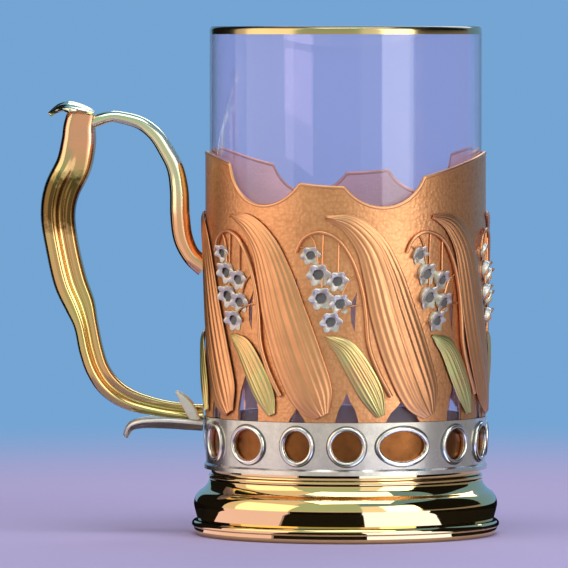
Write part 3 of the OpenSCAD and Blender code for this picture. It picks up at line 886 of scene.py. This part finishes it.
class HOLDER_OT_leaves(bpy.types.Operator):
    """The broad and the narrow leaves round the sleeve"""
    bl_idname = "holder.leaves"
    bl_label = "Leaves"

    def execute(self, context):
        s = sizes()
        for i in range(SPRAYS):
            wrapped_leaf(BROAD_SHARE, s.broad_w, i, "broad_leaf", 64, 110, s.veins)
            wrapped_leaf(NARROW_SHARE, s.narrow_w, i, "narrow_leaf", 40, 60, 3, "green_gilt")
        return {"FINISHED"}


class HOLDER_OT_sprays(bpy.types.Operator):
    """The flower stems and their silver bells"""
    bl_idname = "holder.sprays"
    bl_label = "Flower sprays"

    def execute(self, context):
        for i in range(SPRAYS - 1):
            self.stem(i)
            self.bells(i)
        return {"FINISHED"}

    def stem(self, i):
        """A spray's arched stem with its pedicels."""
        s = sizes()
        azimuth = FIRST_SPRAY + MODULE * i
        rows = scaled(STEM_SHARE, PITCH, FIELD)
        r = s.stem_d / 2
        count = 72
        points = [on_sleeve(r, azimuth, p) for p in smooth(rows, count)]
        radii = [r * (1 - 0.4 * k / count) for k in range(count + 1)]
        bm = bmesh.new()
        tube(bm, points, radii)
        for u, z, share, leave in BELL_SHARE:
            start = along(rows, leave)
            end = (u * PITCH, z * FIELD + 0.25 * s.bell_d * share)
            bend = (end[0] + (start[0] - end[0]) * 0.4, start[1] + (end[1] - start[1]) * 0.3)
            line = [on_sleeve(PEDICEL_R, azimuth, p) for p in smooth((start, bend, end), 14)]
            tube(bm, line, [PEDICEL_R] * len(line), 8)
        piece(bm, f"flower_stem_{i + 1}", "gilt", "gilt")

    def bells(self, i):
        """A spray's bells, which keep off the sleeve and, in their throats, off the pedicels."""
        s = sizes()
        azimuth = FIRST_SPRAY + MODULE * i
        whole = bmesh.new()
        for u, z, share, _ in BELL_SHARE:
            mouth = s.bell_d * share
            out = WRAP_R + mouth / 2 * math.sin(s.bell_tilt)
            turn = (Matrix.Rotation(azimuth + u * PITCH / WRAP_R, 4, "Z")
                    @ Matrix.Translation((0, -out, SLEEVE_LOW[2] + z * FIELD))
                    @ Matrix.Rotation(math.pi / 2 + s.bell_tilt, 4, "X")
                    @ Matrix.Rotation(s.bell_tilt / 2, 4, "Y"))
            before = set(whole.verts)
            self.bell(whole, mouth)
            made = [vert for vert in whole.verts if vert not in before]
            bmesh.ops.transform(whole, matrix=turn, verts=made)
            for vert in made:
                flat = Vector((vert.co.x, vert.co.y))
                throat = any(face.material_index for face in vert.link_faces)
                floor = WRAP_R + (THROAT_OUT if throat else 0)
                if flat.length < floor:
                    flat = flat.normalized() * floor
                    vert.co.x, vert.co.y = flat
        obj = piece(whole, f"bell_spray_{i + 1}", "satin_silver", "silver_plate", sharp=50.0)
        obj.data.materials.append(finish("dark_silver"))

    def bell(self, whole, mouth):
        """A flower bell with a lobed lip, its mouth at the origin and opening along +Z."""
        r, h = mouth * LIP_SHARE / 2, mouth * 0.62
        rows = ((0.0, -h), (r * 0.42, -h * 0.96), (r * 0.76, -h * 0.74), (r * 0.84, -h * 0.4),
                (r * 0.84, -h * 0.18), (r * 1.0, 0.0))
        throat = ((r * 0.97, 0.02 * h), (r * 0.76, -h * 0.03), (r * 0.5, -h * 0.13), (r * 0.42, -h * 0.3),
                  (r * 0.4, -h * 0.62), (0.0, -h * 0.72))
        bm = bmesh.new()
        spun(bm, smooth(rows, 18) + smooth(throat, 16), 36)
        # The throat takes the second material: painted shade inside the bell
        for face in bm.faces:
            middle = face.calc_center_median()
            if Vector((middle.x, middle.y)).length < r * 0.47 and middle.z > -h * 0.8:
                face.material_index = 1
        for vert in bm.verts:
            turn = math.atan2(vert.co.y, vert.co.x)
            near = max(0.0, 1 + vert.co.z / (h * 0.4))
            lobe = near * near * math.cos(LOBES * turn)
            rim = math.hypot(vert.co.x, vert.co.y) / r
            vert.co.x *= 1 + 0.13 * lobe * rim
            vert.co.y *= 1 + 0.13 * lobe * rim
            vert.co.z += 0.08 * r * (lobe - near * near) * rim * rim
        bmesh.ops.dissolve_degenerate(bm, dist=1e-7, edges=bm.edges[:])
        mesh = bpy.data.meshes.new("bell")
        bm.to_mesh(mesh)
        bm.free()
        whole.from_mesh(mesh)
        bpy.data.meshes.remove(mesh)


def in_plane(reach, height):
    """A place in the handle's plane, by its reach beyond the sleeve and its height over the handle's seat."""
    return Vector((-(SLEEVE_R + reach), 0.0, HANDLE_LOW + height))


def swept(bm, table, wide, deep, section, count, relief=None):
    """A bar swept in the handle's plane. section gives its half widths, which relief may change along it."""
    rows = scaled(table, HANDLE_REACH, HANDLE_H, wide / 2, deep / 2)
    rings = []
    for k in range(count + 1):
        t = k / count
        p, d = along(rows, t), heading(rows, t)
        middle = in_plane(p[0], p[1])
        n = Vector((-d[1], 0.0, -d[0]))
        ring = []
        for q in section:
            aside = relief(t, *q) if relief else q[1]
            ring.append(middle + n * (q[0] * p[2]) + Vector((0, aside * p[3], 0)))
        rings.append(ring)
    loft(bm, rings)


def bowed_leaf(bm, table, wide, droop, veins, vein_depth):
    """A leaf bowed over the handle's plane, its edges drooping by a share of its half width."""
    rows = scaled(table, HANDLE_REACH, HANDLE_H, wide / 2)
    groove, thinnest = 0.35 * MM, 0.05 * MM

    def place(v, t):
        p, d = along(rows, t), heading(rows, t)
        half = max(p[2], thinnest)
        fullness = min(1.0, 3 * half / wide)
        fall = -v * v * droop * half
        fall += vein_depth * math.cos(math.tau * veins * abs(v)) * (1 - v * v) * fullness
        fall -= groove * ridge(v, 0.08) * fullness
        return in_plane(p[0] + d[1] * fall, p[1] - d[0] * fall) + Vector((0, v * half, 0))
    sheet(bm, 48, 72, place)


class HOLDER_OT_handle(bpy.types.Operator):
    """The handle: blade, upper arm, thumb leaf and silver bracket leaf"""
    bl_idname = "holder.handle"
    bl_label = "Handle"

    def execute(self, context):
        s = sizes()
        half = smooth(FOLD_SHARE, 56)
        section = half + [(q[0], -q[1]) for q in half[-2:0:-1]]

        def relief(t, across, aside):
            """The fold's side with veins along its middle, and flat with rounded edges towards the top."""
            reach = clamp((t - 0.3) / 0.25) * clamp((0.88 - t) / 0.16)
            veins = 0.022 * reach * (1 - across * across) * (1 - math.cos(math.tau * 4.5 * (across + 0.1)))
            fluted = aside * (1 - veins)
            level = math.copysign(0.68 * (1 - abs(across) ** 6), aside)
            flat = clamp((t - 0.74) / 0.12)
            return fluted + (level - fluted) * flat * flat * (3 - 2 * flat)
        bm = bmesh.new()
        swept(bm, BLADE_SHARE, s.blade_w, s.blade_d, section, 170, relief)
        piece(bm, "handle_blade", "blade_gilt", "gilt")

        bm = bmesh.new()
        oval = [(math.cos(math.tau * k / 28), math.sin(math.tau * k / 28)) for k in range(28)]
        swept(bm, ARM_SHARE, s.arm_w, s.arm_d, oval, 110)
        piece(bm, "upper_arm", "arm_gilt", "gilt")

        for name, table, wide, droop, material, slot in (
                ("thumb_leaf", THUMB_SHARE, s.thumb_w, 0.25, "arm_gilt", "gilt"),
                ("bracket_leaf", BRACKET_SHARE, s.bracket_w, -0.3, "satin_silver", "silver_plate")):
            bm = bmesh.new()
            bowed_leaf(bm, table, wide, droop, 3, s.vein_depth)
            face_outwards(bm, lambda p: Vector((0, 0, 1)))
            obj = piece(bm, name, material, slot, sharp=60.0)
            thicken(obj, BOWED_T)

        # The claws hold the blade's lower end between them
        claw_w, claw_d = 3 * MM, 1 * MM
        aside = BLADE_SHARE[0][3] * s.blade_d / 2 + claw_d / 2 + SEAT
        bm = bmesh.new()
        for side in (-aside, aside):
            before = set(bm.verts)
            swept(bm, CLAW_SHARE, claw_w, claw_d, oval, 40)
            bmesh.ops.translate(bm, vec=(0, side, 0), verts=[v for v in bm.verts if v not in before])
        piece(bm, "bracket_claws", "satin_silver", "silver_plate")
        return {"FINISHED"}


class HOLDER_OT_glass(bpy.types.Operator):
    """The tea glass and its gilt band"""
    bl_idname = "holder.tea_glass"
    bl_label = "Tea glass"

    def execute(self, context):
        low, high = GLASS_LOW[2], GLASS_HIGH[2]
        wall, base, band, thin = 1.8 * MM, 7 * MM, 2 * MM, 0.25 * MM
        r, inner = GLASS_R, GLASS_R - wall
        lip = wall / 2 - thin / 2
        crown = (inner + lip, high - lip - thin)
        outside = from_corner((r, low), (-2.2, 0), (-1.2, 0.15), (-0.4, 0.7), (0, 1.9), (0, 20))
        outside += [(r, high - band), (r - thin, high - band), (r - thin, high - lip)]
        fillet = 3.6 * MM
        inside = [(inner, high - lip - thin), (inner, low + base + fillet)]
        inside += arc((inner - fillet, low + base + fillet), fillet, -1 / 16, -1 / 2, 7)
        profile = [(0.0, low)] + outside + arc(crown, lip, 0.1, 0.9, 8) + inside + [(0.0, low + base)]
        glass = turned(profile, "glass_tumbler", "glass", "clear_glass", GLASS)
        glass.visible_shadow = False

        # The gilt lies over the lip, three quarters of the way round it
        under = arc(crown, lip, 0, 0.75, 12)
        over = arc(crown, lip + thin * 0.96, 0.75, 0, 12)
        profile = [(r - thin * 0.9, high - band)] + under + over + [(r, high - band)]
        turned(profile, "gilt_rim", "rim_gilt", "gilt_rim_band", GLASS)
        return {"FINISHED"}


def aim(obj, point):
    """Turns a lamp or the camera towards a point and puts it in the scene."""
    obj.rotation_euler = (point - obj.location).to_track_quat("-Z", "Y").to_euler()
    bpy.context.scene.collection.objects.link(obj)


def lamp(name, direction, distance, size, power, colour, seen_in_glass):
    """A softbox that looks at the holder."""
    light = bpy.data.lights.new(name, "AREA")
    light.shape = "RECTANGLE"
    light.size, light.size_y = size
    light.energy = power
    light.color = colour
    obj = bpy.data.objects.new(name, light)
    azimuth, elevation = (math.radians(angle) for angle in direction)
    obj.location = LAMP_AIM + around(math.cos(elevation), azimuth, math.sin(elevation)) * distance
    obj.visible_camera = False
    obj.visible_transmission = seen_in_glass
    aim(obj, LAMP_AIM)


def card(name, azimuths, path, glow):
    """A curved card that only reflections see: a path of radius and height, turned between two azimuths."""
    bm = bmesh.new()
    start, end = (math.radians(angle) for angle in azimuths)
    verts = [bm.verts.new(around(r, start, z)) for r, z in path]
    edges = [bm.edges.new(pair) for pair in zip(verts, verts[1:])]
    bmesh.ops.spin(bm, geom=verts + edges, cent=(0, 0, 0), axis=(0, 0, 1), angle=end - start, steps=48,
                   use_duplicate=False)
    obj = placed(bm, name, card_cloth(name, glow))
    obj.visible_camera = False
    obj.visible_diffuse = False
    obj.visible_transmission = False
    obj.visible_shadow = False


class HOLDER_OT_stage(bpy.types.Operator):
    """The floor, the lamps, the world and the camera"""
    bl_idname = "holder.stage"
    bl_label = "Stage"

    def execute(self, context):
        scene = context.scene
        bm = bmesh.new()
        bmesh.ops.create_circle(bm, cap_ends=True, segments=96, radius=FLOOR_R)
        placed(bm, "floor", stage_floor("floor"))

        for row in LAMPS:
            lamp(*row)
        for name, azimuths, (low, high), glow in CARDS:
            rise = [math.radians(low + (high - low) * k / 8) for k in range(9)]
            path = [(CARD_R * math.cos(e), CARD_R * math.sin(e) + CARD_Z) for e in rise]
            if low == 0:
                path = [(CARD_NEAR, CARD_Z)] + path
            card(f"{name}_card", azimuths, path, glow)
        for name, azimuths, glow in FENCES:
            card(f"{name}_fence", azimuths, FENCE, glow)

        scene.world = bpy.data.worlds.new("studio")
        scene.world.use_nodes = True
        self.sky(Nodes(scene.world.node_tree))

        lens = bpy.data.cameras.new("camera")
        lens.lens = CAMERA_LENS
        lens.sensor_width = 36.0
        lens.clip_end = 20.0
        scene.camera = bpy.data.objects.new("camera", lens)
        scene.camera.location = CAMERA_AT
        aim(scene.camera, CAMERA_AIM)
        scene.view_settings.view_transform = "Standard"
        return {"FINISHED"}

    def sky(self, nodes):
        """The backdrop for the camera, the metal and the glass, and a soft light for everything else."""
        nodes.tree.nodes.clear()
        backdrop = nodes.node("ShaderNodeBackground", {}, {
            "Color": shade("backdrop"), "Strength": 1.0})
        soft = nodes.node("ShaderNodeBackground", {}, {"Color": SKY_LIGHT, "Strength": SKY_STRENGTH})
        rays = ("Is Camera Ray", "Is Transmission Ray", "Is Glossy Ray")
        camera, through, mirrored = nodes.outputs(rays, "ShaderNodeLightPath")
        direct = nodes.math("MAXIMUM", camera, through)
        shown = nodes.math("MAXIMUM", direct, mirrored)
        mix = nodes.node("ShaderNodeMixShader", {}, {0: shown, 1: soft, 2: backdrop})
        nodes.node("ShaderNodeOutputWorld", {}, {0: mix})


STEPS = (HOLDER_OT_stage, HOLDER_OT_foot, HOLDER_OT_gallery, HOLDER_OT_sleeve, HOLDER_OT_leaves,
         HOLDER_OT_sprays, HOLDER_OT_handle, HOLDER_OT_glass)


class HOLDER_PT_panel(bpy.types.Panel):
    """Lists the pieces in the order they are made"""
    bl_idname = "HOLDER_PT_panel"
    bl_label = "Tea glass holder"
    bl_space_type = "VIEW_3D"
    bl_region_type = "UI"
    bl_category = "Tea glass"

    def draw(self, context):
        for group in (context.scene.holder_sizes, context.scene.holder_colours):
            for name in group.__annotations__:
                self.layout.prop(group, name)
        for step in STEPS:
            self.layout.operator(step.bl_idname)


CLASSES = (HolderSizes, HolderColours, *STEPS, HOLDER_PT_panel)


def register():
    for cls in CLASSES:
        bpy.utils.register_class(cls)
    bpy.types.Scene.holder_sizes = PointerProperty(type=HolderSizes)
    bpy.types.Scene.holder_colours = PointerProperty(type=HolderColours)


def unregister():
    del bpy.types.Scene.holder_colours
    del bpy.types.Scene.holder_sizes
    for cls in reversed(CLASSES):
        bpy.utils.unregister_class(cls)


def main():
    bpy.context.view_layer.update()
    register()
    for step in STEPS:
        group, name = step.bl_idname.split(".")
        getattr(getattr(bpy.ops, group), name)()


if __name__ == "__main__":
    main()
